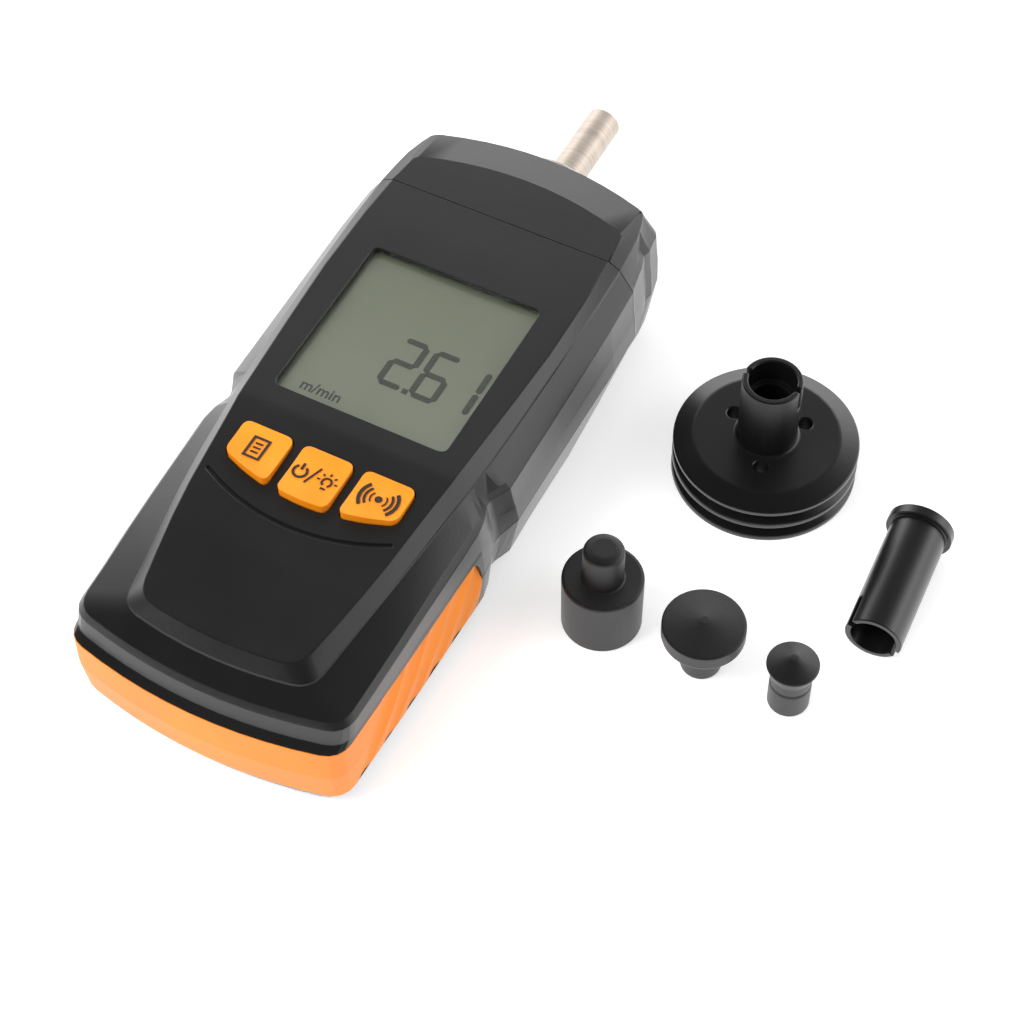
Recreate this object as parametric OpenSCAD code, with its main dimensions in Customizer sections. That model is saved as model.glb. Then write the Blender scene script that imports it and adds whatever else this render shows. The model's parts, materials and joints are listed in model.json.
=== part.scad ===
// Contact tachometer lying on its flat back, with its measuring wheel, shaft sleeve and three tips set out beside it.
// z = 0 is the surface that everything lies on. y runs from the grip end toward the shaft, x to the right of the display.

/* [Case] */
// Length of the moulded case, without the shaft
case_len = 153; // [148:1:160]
// Width of the case beside the display
case_w = 66.8; // [65:0.1:71]
// Height of the raised panel over the back
case_h = 38; // [37:0.5:40]
// Wall of the moulded shells
wall = 2.2; // [2:0.1:2.4]
// Height of the part line in the head half
part_z = 17.8; // [17.2:0.1:18.2]
// Thickness of the soft grips let into the shells
grip_t = 1.4; // [1.2:0.1:1.6]
// Depth of the finger step at the waist
waist_d = 2.1; // [1.6:0.1:2.6]
// Place of the finger step along the case
waist_y = -8.5; // [-10:0.5:-7]
// Place of the seam between the front shell and the head
seam_y = 51.5; // [50.5:0.5:52]
// Finger scallops on each side of the grips
scallops = 5; // [3:1:5]

/* [Display] */
// Width of the display window
lcd_w = 39.6; // [38:0.2:41]
// Length of the display window
lcd_l = 41.9; // [40:0.1:43]
// Thickness of the clear window
lens_t = 1.2; // [1:0.1:1.3]
// Thickness of the liquid crystal cell
cell_t = 2.8; // [2.2:0.1:3]

/* [Keys] */
// Width of each key
key_w = 11.4; // [10.6:0.2:12]
// Gap between two keys
key_gap = 2.5; // [2.2:0.1:3]
// Length of the middle key
key_l = 12.5; // [11.5:0.5:13]
// Height of the keys over the panel
key_rise = 0.8; // [0.4:0.1:1.2]
// Travel of each key
key_travel = 0.7; // [0.5:0.1:0.8]

/* [Shaft] */
// Diameter of the shaft end that takes the wheel and the sleeve
shaft_d = 8; // [7:0.5:8.5]
// Length of the shaft end beyond the nose
shaft_out = 22.9; // [18:0.1:26]
// Diameter of the shaft in its bearings
journal_d = 6; // [5:0.5:6]
// Diameter of the slotted disc
disc_d = 20; // [18:1:21]
// Slots round the disc
disc_slots = 20; // [8:1:24]

/* [Batteries] */
// Diameter of each cell
battery_d = 10.5; // [10:0.1:10.6]
// Length of each cell
battery_len = 44.5; // [42:0.5:45]

/* [Accessories] */
// Diameter of the measuring wheel, about an eighth of a metre round
wheel_d = 39.8; // [36:0.2:42]
// Height of the wheel's hub over the table
hub_h = 29.3; // [26:0.1:31]
// Length of the shaft sleeve
sleeve_len = 30.2; // [28:0.1:34]
// Diameter of the stems of the tips
stem_d = 8.6; // [8.2:0.1:8.8]
// Diameter of the cup tip
cup_d = 16.8; // [15:0.2:18]
// Diameter of the large cone tip
cone_d = 17.2; // [15:0.2:18]
// Diameter of the small cone tip
point_d = 10.9; // [10:0.1:12]

/* [Hidden] */

$fn = 48;

// Small common values
over = 0.8;         // overrun of every cut
slip = 0.2;         // gap round a loose piece
fit_gap = 0.05;     // gap round a seated piece
run_gap = 0.03;     // radial running clearance

half_len = case_len / 2;
half_w = case_w / 2;

// ---- the loft: tables of shares, read at a place along the case ----
function mix(a, b, t) = a + (b - a) * t;
function along(t, y) = lookup(y / half_len, t);
function bez(a, b, c, t) = a * (1 - t) * (1 - t) + b * 2 * t * (1 - t) + c * t * t;
function clip(v) = min(1, max(0, v));

// half width of the sides, as a share of half the case width; the head has a small step at its ears
side_shares = [[-1, 0.928], [-0.89, 0.934], [-0.78, 0.94], [-0.59, 0.955], [-0.39, 0.961], [-0.22, 0.97],
    [-0.05, 1], [0.655, 1], [0.689, 0.976], [0.731, 0.958], [0.766, 0.946], [0.805, 0.91], [0.833, 0.925],
    [0.861, 0.913], [0.893, 0.901], [1, 0.883]];
// half width low on the rear shell, which tapers under the display and the head
heel_shares = [[-1, 0.913], [-0.89, 0.919], [-0.78, 0.925], [-0.59, 0.94], [-0.39, 0.946], [-0.22, 0.955], [-0.13, 0.952], [-0.05, 0.935],
    [0, 0.925], [0.38, 0.922], [0.45, 0.908], [0.54, 0.898], [0.62, 0.877], [0.7, 0.864], [0.8, 0.868], [0.86, 0.858], [0.9, 0.84], [0.94, 0.825], [1, 0.82]];
// half width of the raised panel at its foot and at its upper edge
foot_shares = [[-1, 0.6], [-0.78, 0.653], [-0.65, 0.695], [-0.52, 0.737], [-0.39, 0.769], [-0.26, 0.796], [-0.13, 0.823],
    [0, 0.841], [0.13, 0.85], [0.26, 0.859], [0.39, 0.865], [0.65, 0.865], [0.73, 0.853], [0.8, 0.838], [0.86, 0.805], [0.91, 0.765], [1, 0.74]];
brow_shares = [[-1, 0.5], [-0.85, 0.533], [-0.78, 0.563], [-0.65, 0.62], [-0.52, 0.665], [-0.39, 0.692], [-0.26, 0.719],
    [-0.2, 0.734], [-0.07, 0.751], [0.16, 0.784], [0.35, 0.803], [0.45, 0.803], [0.65, 0.787], [0.73, 0.766], [0.8, 0.749], [1, 0.73]];
// heights as shares of the case height: panel edge, panel foot, shoulder crease, lip and grip top
brow_z_shares = [[-1, 0.86], [-0.86, 0.879], [-0.78, 0.892], [-0.65, 0.924], [-0.52, 0.95], [-0.39, 0.971], [-0.26, 0.989],
    [-0.18, 1], [1, 1]];
foot_z_shares = [[-1, 0.78], [-0.885, 0.795], [-0.78, 0.806], [-0.65, 0.842], [-0.52, 0.874], [-0.39, 0.895], [-0.26, 0.905],
    [-0.13, 0.916], [0, 0.926], [0.13, 0.937], [0.26, 0.947], [0.39, 0.955], [0.65, 0.963], [0.78, 0.958], [1, 0.947]];
crease_z_shares = [[-1, 0.718], [-0.78, 0.729], [-0.59, 0.761], [-0.39, 0.784], [-0.13, 0.803], [0.13, 0.821], [0.39, 0.839],
    [0.65, 0.855], [0.81, 0.85], [1, 0.826]];
lip_z_shares = [[-1, 0.6], [-0.25, 0.6], [0, 0.68], [1, 0.697]];
grip_z_shares = [[-1, 0.566], [-0.25, 0.566], [0, 0.592], [1, 0.605]];
// height of the part line as a share of its height at the head
part_z_shares = [[-1, 0.753], [-0.22, 0.787], [-0.16, 0.83], [-0.105, 0.87], [-0.04, 1], [1, 1]];
flat_shares = [[-1, 1], [1, 1]];

// stations round a level, as shares of the stretch that each belongs to
bow_shares = [0, 0.2, 0.4, 0.6, 0.8, 1];
corner_shares = [0.25, 0.5, 0.75, 1];
flank_shares = [0.15, 0.35, 0.55, 0.75, 0.9];
// finger step: place as a share of its length, depth as a share of its depth
waist_shares = [[-0.615, 0], [-0.346, 0.32], [-0.19, 0.68], [-0.077, 0.97], [0, 1], [0.077, 0.9], [0.27, 0.33], [0.385, 0]];
mid_shares = [0.2, 0.5, 0.8, 1];
ear_shares = [0, 0.07, 0.26, 0.42, 0.6, 0.726, 0.857, 1];
front_shares = [0.8, 0.6, 0.4, 0.2, 0];
// end of each grip: place along the flank and height of the tip
tip_shares = [[0.93, 1], [0.955, 0.86], [0.97, 0.62], [0.98, 0.3]];

waist_len = 13;      // length of the finger step
waist_lean = 2.1;    // the step leans toward the grip end as it rises
low_bow = 5.1;       // bow of the grip end over the half width
panel_bow = 6.2;     // bow of the panel's lower end
high_bow = 7.8;      // bow of the head end
low_r = 4;           // corner radius at the grip end
head_r = 1.5;        // corner radius at the head end
panel_r = 3.6;       // corner radius of the panel
lip_in = 2.1;        // the lip over the grip stands out this far
band_in = 3;         // from the end to the apron crease
apron_in = 4;        // from the end to the upper side of that crease
step_in = 0.15;       // step round the foot of the panel: width and height
step_h = 0.5;
foot_in = 8.8;       // from the end to the foot of the panel
brow_in = 11;        // from the end to the panel's upper edge
nose_in = 2.6;       // from the head end to the edge of its bevel
bevel_in = 12.1;     // from the head end to the crease of its top
edge_drop = 1;       // softened shoulder: below and above the crease
edge_up = 0.5;
edge_in = 1;         // softened shoulder: width
side_draft = 0.3;    // draft of the side in the grip half
head_draft = 0.9;    // draft of the side in the head half
draft_b = 0.1;
face_round = 0.3;    // the head end swells this much at its middle
tail_b = 0.1;

back_z = 1.8;        // height of the first bevel over the back
back_in = 6;         // flat back is this far in
back_mid = 2.6;
heel_z = 5.3;        // lower edge of the rear grip
heel_in = 0.5;

// A level of the case:
// [widths, inset low, inset high, low end, low bow, low corner, head end, head bow, head corner, lean, waist, heights, height, lift]
function level(wt, i0, i1, lo, lob, lor, hi, hib, hir, lean, notch, zt, zs, dz) =
    [wt, i0, i1, lo, lob, lor, hi, hib, hir, lean, notch, zt, zs, dz];
L_part = level(side_shares, 0, 0, -half_len, low_bow, low_r, half_len - face_round, high_bow, head_r, 0, 1, part_z_shares, part_z, 0);
L_grip = level(side_shares, draft_b, side_draft, tail_b - half_len, low_bow, low_r, half_len, high_bow, head_r, 0.3, 1, grip_z_shares, case_h, 0);
L_lip = level(side_shares, side_draft - draft_b, head_draft - draft_b * 2, lip_in - half_len, low_bow, low_r, half_len - draft_b, high_bow, head_r, 0.5, 1, lip_z_shares, case_h, 0);
L_edge = level(side_shares, side_draft, head_draft, band_in - half_len, low_bow, low_r, half_len - heel_in, high_bow, head_r, 0.85, 1, crease_z_shares, case_h, -edge_drop);
L_crease = level(side_shares, side_draft + edge_in, head_draft + edge_in, apron_in - half_len, low_bow, low_r, half_len - edge_in - tail_b, high_bow, head_r, 1, 1, crease_z_shares, case_h, edge_up);
L_foot = level(foot_shares, 0, 0, foot_in - half_len, panel_bow, panel_r, half_len - nose_in, high_bow, head_r * 0.7, 1, 0, foot_z_shares, case_h, 0);
// small step down round the foot of the panel
L_step = level(foot_shares, -step_in, -step_in, foot_in - step_in - half_len, panel_bow, panel_r, half_len - nose_in + step_in, high_bow, head_r * 0.7, 1, 0, foot_z_shares, case_h, -step_h);
L_brow = level(brow_shares, 0, 0, brow_in - half_len, panel_bow, panel_r, half_len - bevel_in, high_bow, head_r, 1, 0, brow_z_shares, case_h, 0);
L_back = level(heel_shares, back_in - heel_in, back_in - heel_in, back_in - half_len, low_bow, low_r, half_len - back_in, high_bow, head_r, 0, 1, flat_shares, 0, 0);
L_bevel = level(heel_shares, back_mid - heel_in, back_mid - heel_in, back_mid - half_len, low_bow, low_r, half_len - back_mid, high_bow, head_r, 0, 1, flat_shares, back_z, 0);
L_heel = level(heel_shares, 0, 0, heel_in * 2 - half_len, low_bow, low_r, half_len - heel_in * 2, high_bow, head_r, 0, 1, flat_shares, heel_z, 0);

// the same level drawn in by t and lifted by dz
function inner(L, t, dz) = level(L[0], L[1] + t, L[2] + t, L[3] + t, L[4], max(L[5] - t, fit_gap), L[6] - t, L[7], max(L[8] - t, slip), L[9], L[10], L[11], L[12], L[13] + dz);

function rise(y) = clip((y - waist_y + waist_len / 2) / waist_len);
function span(L, y) = along(L[0], y) * half_w - mix(L[1], L[2], rise(y));
function pt(L, x, y) = [x, y, along(L[11], y) * L[12] + L[13]];
function low_at(L, x) = L[3] + L[4] * pow(x / half_w, 2);
function high_at(L, x) = L[6] - L[7] * pow(x / half_w, 2);
function low_w(L) = span(L, L[3]);
function low_end(L) = low_at(L, low_w(L)) + L[5];
function high_w(L) = span(L, L[6]);
function high_end(L) = high_at(L, high_w(L)) - L[8];
function waist_at(L, s) = waist_y + s * waist_len - L[9] * waist_lean;

function tail_pts(L) = let (w = low_w(L), r = L[5], a = [w - r, low_at(L, w - r)], b = [w, low_at(L, w)], c = [span(L, low_end(L)), low_end(L)])
    concat(
        [for (s = bow_shares) pt(L, s * (w - r), low_at(L, s * (w - r)))],
        [for (t = corner_shares) let (p = bez(a, b, c, t)) pt(L, p[0], p[1])]);
function flank_pts(L, shares) = [for (s = shares) let (y = mix(low_end(L), waist_at(L, waist_shares[0][0]), s)) pt(L, span(L, y), y)];
function waist_pts(L) = [for (k = waist_shares) let (y = waist_at(L, k[0])) pt(L, span(L, y) - L[10] * waist_d * k[1], y)];
function mid_pts(L, ye) = [for (s = mid_shares) let (y = mix(waist_at(L, waist_shares[len(waist_shares) - 1][0]), ye, s)) pt(L, span(L, y), y)];
function head_pts(L, ys) = [for (s = ear_shares) let (y = mix(ys, high_end(L), s)) pt(L, span(L, y), y)];
function front_pts(L) = let (w = high_w(L), r = L[8], a = [w - r, high_at(L, w - r)], b = [w, high_at(L, w)], c = [span(L, high_end(L)), high_end(L)])
    concat(
        [for (t = corner_shares) let (p = bez(c, b, a, t)) pt(L, p[0], p[1])],
        [for (s = front_shares) pt(L, s * (w - r), high_at(L, s * (w - r)))]);

function body_half(L, ye) = concat(tail_pts(L), flank_pts(L, flank_shares), waist_pts(L), mid_pts(L, ye));
function head_half(L, ys) = concat(head_pts(L, ys), front_pts(L));
function full_half(L) = concat(body_half(L, seam_y), [for (i = [1 : len(ear_shares) - 1]) head_pts(L, seam_y)[i]], front_pts(L));
function ring(h) = concat(h, [for (i = [len(h) - 1 : -1 : 0]) if (h[i][0] > 0) [-h[i][0], h[i][1], h[i][2]]]);

// solid between levels, each ring given as its right half from the lowest to the highest y
module loft(halves) {
    m = len(halves[0]);
    n = len(ring(halves[0]));
    k = len(halves);
    s = halves[0][0][0] == 0 ? n : n - 1;
    function mir(i) = (s - i) % n;
    function rung(i) = let (a = i, b = i + 1, c = mir(i + 1), d = mir(i)) a == d ? [a, b, c] : b == c ? [a, b, d] : [a, b, c, d];
    function flip(f, o) = [for (i = [len(f) - 1 : -1 : 0]) f[i] + o];
    polyhedron(points = [for (h = halves) each ring(h)], faces = concat(
        [for (i = [0 : m - 2]) rung(i)],
        [for (i = [0 : m - 2]) flip(rung(i), (k - 1) * n)],
        [for (j = [0 : k - 2]) for (i = [0 : n - 1]) let (p = (i + 1) % n) each [[j * n + i, (j + 1) * n + i, (j + 1) * n + p], [j * n + i, (j + 1) * n + p, j * n + p]]]));
}

// band swept round the grip end; each edge is a half outline from the middle to the tip
module band(edges) {
    m = len(edges[0]);
    k = len(edges);
    function go(h, j) = j < m - 1 ? [-h[m - 1 - j][0], h[m - 1 - j][1], h[m - 1 - j][2]] : h[j - m + 1];
    n = 2 * m - 1;
    polyhedron(points = [for (j = [0 : n - 1]) for (e = edges) go(e, j)], faces = concat(
        [[for (i = [k - 1 : -1 : 0]) i]],
        [[for (i = [0 : k - 1]) (n - 1) * k + i]],
        [for (j = [0 : n - 2]) for (i = [0 : k - 1]) let (p = (i + 1) % k) each [[j * k + i, j * k + p, (j + 1) * k + p], [j * k + i, (j + 1) * k + p, (j + 1) * k + i]]]));
}

// outline with each corner rounded by a quarter curve of radius r
corner_steps_share = [0, 0.2, 0.4, 0.6, 0.8, 1];
function rounded(p, r) = let (n = len(p)) [for (i = [0 : n - 1]) let (a = p[(i + n - 1) % n], b = p[i], c = p[(i + 1) % n],
    u = b + (a - b) * r / norm(a - b), v = b + (c - b) * r / norm(c - b)) each [for (t = corner_steps_share) bez(u, b, v, t)]];
function box_pts(w, l) = [[-w / 2, -l / 2], [w / 2, -l / 2], [w / 2, l / 2], [-w / 2, l / 2]];
module slab(w, l, z0, z1) translate([-w / 2, -l / 2, z0]) cube([w, l, z1 - z0]);
module post(x, y, r, z0, z1) translate([x, y, z0]) cylinder(r = r, h = z1 - z0);
module both() { children(); mirror([1, 0, 0]) children(); }

// ---- heights inside ----
lip_t = 1;                       // lip of the shell over the window
lens_z = case_h - lip_t - lens_t;
lcd_gap = 0.4;
cell_z = lens_z - lcd_gap - cell_t;
board_under = 6;                 // from the board to the cell
board_z = cell_z - board_under;  // upper face of the board
board_t = 1.6;
lcd_y = 11.85;                   // middle of the window
lens_rim = 1.7;                  // the window is wider than its opening by this, all round
cell_rim = 1.9;
frame_t = 1.2;

// ---- keys ----
key_y = -20;                     // upper edge of the keys
key_arc = 49;                    // radius of the line of their lower edges
key_r = 1.8;
key_flange = 1.1;
key_flange_t = 1.2;
key_drop = 4;                    // from the panel to the top of the key's flange
switch_w = 6;
switch_h = 3.5;
plunger_d = 3.4;
plunger_h = 5;                   // top of the plunger over the board
plunger_floor = 1.3;
key_stem_d = 4;
key_top_z = case_h + key_rise - lip_t * 0.4;
flange_z = case_h - key_drop;    // top of the flange
key_pitch = key_w + key_gap;
function key_low(x) = key_y - key_l + key_arc - sqrt(key_arc * key_arc - x * x);
function key_mid(x) = (key_y + key_low(x)) / 2;
function key_line(x, g) = let (a = x - key_w / 2 - g, b = x + key_w / 2 + g)
    [[b, key_y + g], [a, key_y + g], [a, key_low(a) - g], [x, key_low(x) - g], [b, key_low(b) - g]];
module key_shape(x, g) polygon(rounded(key_line(x, g), key_r));

// arc let into the panel under the keys
groove_r = 45;
groove_w = 0.8;
groove_d = 0.5;
groove_y = -38;
groove_half = 28;                // degrees to each side
groove_z_share = 0.954;          // height of the panel there
panel_tilt = 4.6;                // degrees that the panel falls there

// ---- screws ----
screw_d = 2.4;
screw_head_d = 4.6;
screw_head_h = 2;
screw_len = 15;
boss_r = 2.9;
sink_z = 6.5;                    // seat of the screw heads over the back
mid_boss_in = 7.8;               // from the side to the screws
mid_boss_y = 2;
low_boss_x = 25.4;
low_boss_up = 14.5;              // from the grip end
head_boss_x = 23.4;
head_boss_in = 16.5;             // from the head end
boss_at = [[half_w - mid_boss_in, mid_boss_y], [low_boss_x, low_boss_up - half_len]];
head_boss = [head_boss_x, half_len - head_boss_in];
board_screw_d = 1.8;
board_screw_len = 5;
board_head_d = 3.6;
board_head_h = 1.2;
board_boss_r = 2.1;

// ---- board ----
board_w = 45;
board_lo = 16.5;                 // from the grip end
board_y0 = board_lo - half_len;
board_boss_in = 3.4;
board_y1 = lcd_y + (lcd_l + cell_rim) / 2 + frame_t + slip + board_boss_r + board_boss_in;
board_low_w = 38;
board_boss = [[board_w / 2 - board_boss_in, board_y1 - board_boss_in], [board_low_w / 2 - board_boss_in, board_y0 + board_boss_in]];
board_neck = 14;

// ---- shaft ----
shaft_lift = 3.1;                // of its axis over the middle of the case's height
shaft_z = case_h / 2 + shaft_lift;
nose_len = 1;                    // low cone of the nose
nose_base = 3.3;
nose_r = 9;
nose_tip = 0.6;                  // wall of the nose at its tip
nose_sink = 0.9;                 // seat of the nose below the head's end
spigot_r = 6.6;
nose_y = half_len - nose_sink;
tip_y = nose_y + nose_base + nose_len;
shaft_y = tip_y + shaft_out;
shaft_chamfer = 0.5;
block_gap = 5.6;                 // from the nose seat to the block
block_len = 18;
block_y1 = nose_y - block_gap;
block_y0 = block_y1 - block_len;
block_w = 20;
block_wall = 1.6;                // block round its bearings
block_foot_w = 35;
block_foot_t = 2.6;
block_foot_in = 2;
block_screw_x = 14;
block_screw_len = 8;
bearing_d = 15;
bearing_t = 5;
block_up = bearing_d / 2 + block_wall; // block over and under the axis
bearing_seat = 3;                // radial wall of the races over the journal
ring_t = 0.8;
ring_r = 5;
ring_groove = 0.6;
disc_t = 1;
disc_back = 6.9;                 // from the block back to the disc
disc_y = block_y0 - disc_back;
disc_hub_r = 5;
disc_hub_len = 5;
disc_rim = 1.4;
slot_len = 2.6;
slot_share = 0.5;                // slot against pitch
shaft_tail = 1.2;

// ---- optical sensor under the disc ----
sensor_w = 12;
sensor_arm = 3.8;
sensor_gap = 3;
sensor_base = 3;
sensor_deep = 4;                 // the disc dips this far between the arms
sensor_board_t = 1.6;
sensor_board_z = 4.2;
sensor_board_w = 24;
sensor_board_rim = 3;
sensor_z = sensor_board_z + sensor_board_t;
sensor_post_r = 2;

// ---- batteries ----
door_t = 1.6;
cell_floor = 0.4;                // gap from the door to the cells
battery_z = door_t + cell_floor + battery_d / 2;
battery_gap = 0.5;
battery_pitch = battery_d + battery_gap;
box_w = battery_pitch * 3 + battery_gap;
box_wall = 1.4;
contact_room = 3.2;
box_len = battery_len + contact_room * 2;
box_y = -42.5;
box_top = battery_z + battery_d / 2 + slip / 2;
box_roof = 1.1;
door_w = 41.6;
door_y1 = -12.5;
door_rail = 1.2;
door_rail_t = 1;
ledge_z = 4.4;
frame_w = 47;
ridge_r = 0.8;
ridge_pitch = 2.2;
ridge_w = 16;
ridges = 5;
ridge_in = 8;
tip_pin_r = 2;
tip_pin_h = 0.9;

// ---- shells ----
module front_outer() loft([for (L = [L_part, L_grip, L_lip, L_edge, L_crease, L_step, L_foot, L_brow]) body_half(L, seam_y)]);
module head_outer() loft([for (L = [L_part, L_grip, L_lip, L_edge, L_crease, L_step, L_foot, L_brow]) head_half(L, seam_y)]);
inner_levels = [inner(L_part, wall, -over), inner(L_edge, wall, 0), inner(L_foot, wall * 0.8, -wall), inner(L_brow, wall * 0.6, -wall)];
module front_inner() loft([for (L = inner_levels) body_half(L, seam_y + over)]);
module head_inner() loft([for (L = inner_levels) head_half(L, seam_y - over)]);

// outline of a grip, from the middle of the end to its tip
function grip_line(L) = concat(tail_pts(L), flank_pts(L, [for (s = flank_shares) if (s < tip_shares[0][0]) s]), flank_pts(L, [for (k = tip_shares) k[0]]));
function tip_h(i, m) = i < m - len(tip_shares) ? 1 : tip_shares[i - m + len(tip_shares)][1];
// top edge brought down toward the low edge at the tips
function lowered(lo, hi) = [for (i = [0 : len(lo) - 1]) mix(lo[i], hi[i], tip_h(i, len(lo)))];
module front_band(t, out, drop, up) {
    a = grip_line(inner(L_part, -out, -drop));
    b = lowered(a, grip_line(inner(L_grip, -out, up)));
    c = lowered(grip_line(inner(L_part, t, -drop)), grip_line(inner(L_grip, t, up)));
    band([a, b, c, grip_line(inner(L_part, t, -drop))]);
}
module rear_band(t, out, drop, up) {
    a = grip_line(inner(L_part, -out, up));
    d = grip_line(inner(L_part, t, up));
    b = lowered(a, grip_line(inner(L_heel, -out, -drop)));
    c = lowered(d, grip_line(inner(L_heel, t, -drop)));
    band([b, a, d, c]);
}

scallop_r = 7;
scallop_d = 0.95;
scallop_tilt = 36;
scallop_pitch = 9.1;
scallop_y = -58.5;
scallop_len = 32;
scallop_z = 13;
module finger_scallops() both() for (i = [0 : scallops - 1]) let (y = scallop_y + i * scallop_pitch)
    translate([span(L_part, y) + scallop_r - scallop_d, y, scallop_z]) rotate([-scallop_tilt, 0, 0]) cylinder(r = scallop_r, h = scallop_len, center = true);

module nose_hole() translate([0, half_len - bevel_in, shaft_z]) rotate([-90, 0, 0]) cylinder(r = spigot_r + fit_gap, h = bevel_in + over);
module nose_seat() translate([0, nose_y, shaft_z]) rotate([-90, 0, 0]) cylinder(r = nose_r + fit_gap, h = nose_sink + over);

module front_case() color("#323232") difference() {
    front_outer();
    difference() {
        front_inner();
        for (p = boss_at) both() post(p[0], p[1], boss_r, 0, case_h);
        for (p = board_boss) both() post(p[0], p[1], board_boss_r, board_z, case_h);
    }
    // screw holes
    for (p = boss_at) both() post(p[0], p[1], screw_d / 2 + fit_gap, 0, sink_z + screw_len + over);
    for (p = board_boss) both() post(p[0], p[1], board_screw_d / 2 + fit_gap, 0, board_z + board_screw_len - board_t);
    // window, and its pocket from below
    translate([0, lcd_y, 0]) linear_extrude(case_h + over) polygon(rounded(box_pts(lcd_w, lcd_l), key_r));
    translate([0, lcd_y, 0]) linear_extrude(case_h - lip_t) polygon(rounded(box_pts(lcd_w + lens_rim * 2 + fit_gap * 2, lcd_l + lens_rim * 2 + fit_gap * 2), key_r));
    // key holes
    for (i = [-1, 0, 1]) linear_extrude(case_h + over) key_shape(i * key_pitch, slip);
    // arc under the keys
    translate([0, groove_y, case_h * groove_z_share - groove_d]) rotate([panel_tilt, 0, 0]) translate([0, groove_r, 0]) rotate([0, 0, -90 - groove_half])
        rotate_extrude(angle = groove_half * 2) translate([groove_r - groove_w / 2, 0]) square([groove_w, groove_d + over]);
    front_band(grip_t + fit_gap, over, over, fit_gap);
}

module head_cap() color("#2e2e2e") difference() {
    head_outer();
    difference() {
        head_inner();
        both() post(head_boss[0], head_boss[1], boss_r, 0, case_h);
    }
    both() post(head_boss[0], head_boss[1], screw_d / 2 + fit_gap, 0, sink_z + screw_len + over);
    nose_hole();
    nose_seat();
}

module rear_outer() loft([for (L = [L_back, L_bevel, L_heel, L_part]) full_half(L)]);
module rear_inner() loft([for (L = [inner(L_bevel, wall, wall - back_z), inner(L_heel, wall, over), inner(L_part, wall, over)]) full_half(L)]);

module rear_case() color("#343434") difference() {
    rear_outer();
    difference() {
        rear_inner();
        for (p = concat(boss_at, [head_boss])) both() post(p[0], p[1], boss_r, 0, case_h);
        // floor under the door, and the box for the cells
        translate([0, (door_y1 + over * 2 - half_len) / 2, 0]) slab(frame_w, half_len + door_y1 + over * 2, 0, ledge_z);
        translate([0, box_y, 0]) slab(box_w + box_wall * 2, box_len + box_wall * 2, 0, box_top + box_roof);
        // posts for the bearing block and the sensor board
        both() post(block_screw_x, (block_y0 + block_y1) / 2, boss_r, 0, shaft_z - block_up);
        both() post(sensor_board_w / 2 - sensor_post_r, disc_y, sensor_post_r, 0, sensor_board_z);
    }
    // screws from the back
    for (p = concat(boss_at, [head_boss])) both() {
        post(p[0], p[1], screw_d / 2 + slip, 0, case_h);
        post(p[0], p[1], screw_head_d / 2 + slip, -over, sink_z);
    }
    both() post(block_screw_x, (block_y0 + block_y1) / 2, screw_d / 2 + fit_gap, shaft_z - block_up - block_screw_len, case_h);
    // cells
    translate([0, box_y, 0]) slab(box_w, box_len, -over, box_top);
    // recess of the door with the slots for its rails
    translate([0, (door_y1 + fit_gap - case_len) / 2, 0]) {
        slab(door_w + slip * 2, case_len + door_y1 + fit_gap, -over, door_t + fit_gap);
        slab(door_w + door_rail * 2 + slip * 2, case_len + door_y1 + fit_gap, door_t - fit_gap, door_t + door_rail_t + slip);
    }
    nose_hole();
    nose_seat();
    rear_band(grip_t + fit_gap, over, fit_gap, over);
}

module front_grip() color("#ff9a3c") difference() {
    front_band(grip_t, 0, 0, 0);
    finger_scallops();
}
module rear_grip() color("#ff9a3c") difference() {
    rear_band(grip_t, 0, 0, 0);
    finger_scallops();
}

// ---- display ----
module lcd_window() color("#c9cfc4") translate([0, lcd_y, lens_z]) linear_extrude(lens_t) polygon(rounded(box_pts(lcd_w + lens_rim * 2, lcd_l + lens_rim * 2), key_r));
module lcd_cell() color("#7b7d6c") translate([0, lcd_y, 0]) slab(lcd_w + cell_rim, lcd_l + cell_rim, cell_z, cell_z + cell_t);
strip_t = 2;
light_t = 2.4;
module lcd_frame() color("#e8e6df") translate([0, lcd_y, 0]) difference() {
    slab(lcd_w + cell_rim + frame_t * 2, lcd_l + cell_rim + frame_t * 2, board_z, cell_z + cell_t - lcd_gap);
    slab(lcd_w + cell_rim + fit_gap * 2, lcd_l + cell_rim + fit_gap * 2, cell_z, cell_z + cell_t);
    slab(lcd_w + cell_rim - frame_t * 2, lcd_l + cell_rim - frame_t * 2, board_z - over, cell_z + over);
}
module backlight() color("#f2f4ee") translate([0, lcd_y, 0]) slab(lcd_w + cell_rim - frame_t * 2 - slip, lcd_l + cell_rim - frame_t * 2 - strip_t * 2 - slip * 4, cell_z - light_t - fit_gap, cell_z - fit_gap);
module contact_strips() color("#d8a8a0") for (s = [-1, 1]) translate([0, lcd_y + s * (lcd_l + cell_rim - frame_t * 2 - strip_t - slip) / 2, 0])
    slab(lcd_w + cell_rim - frame_t * 2 - slip, strip_t, board_z, cell_z);

// ---- keys ----
module one_key(i) {
    x = i * key_pitch;
    difference() {
        translate([0, 0, flange_z]) linear_extrude(key_top_z - flange_z) key_shape(x, 0);
        // shallow dish in the cap
        translate([x, key_mid(x), key_top_z + key_dish_r - key_dish]) rotate([0, 90, 0]) cylinder(r = key_dish_r, h = key_w + key_gap, center = true);
    }
    translate([0, 0, flange_z - key_flange_t]) linear_extrude(key_flange_t) key_shape(x, key_flange);
    post(x, key_mid(x), key_stem_d / 2, board_z + plunger_h, flange_z);
}
key_dish_r = 60;
key_dish = 0.25;
module memory_key() color("#ff9a1e") one_key(-1);
module power_key() color("#ff9a1e") one_key(0);
module sound_key() color("#ff9a1e") one_key(1);

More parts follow.
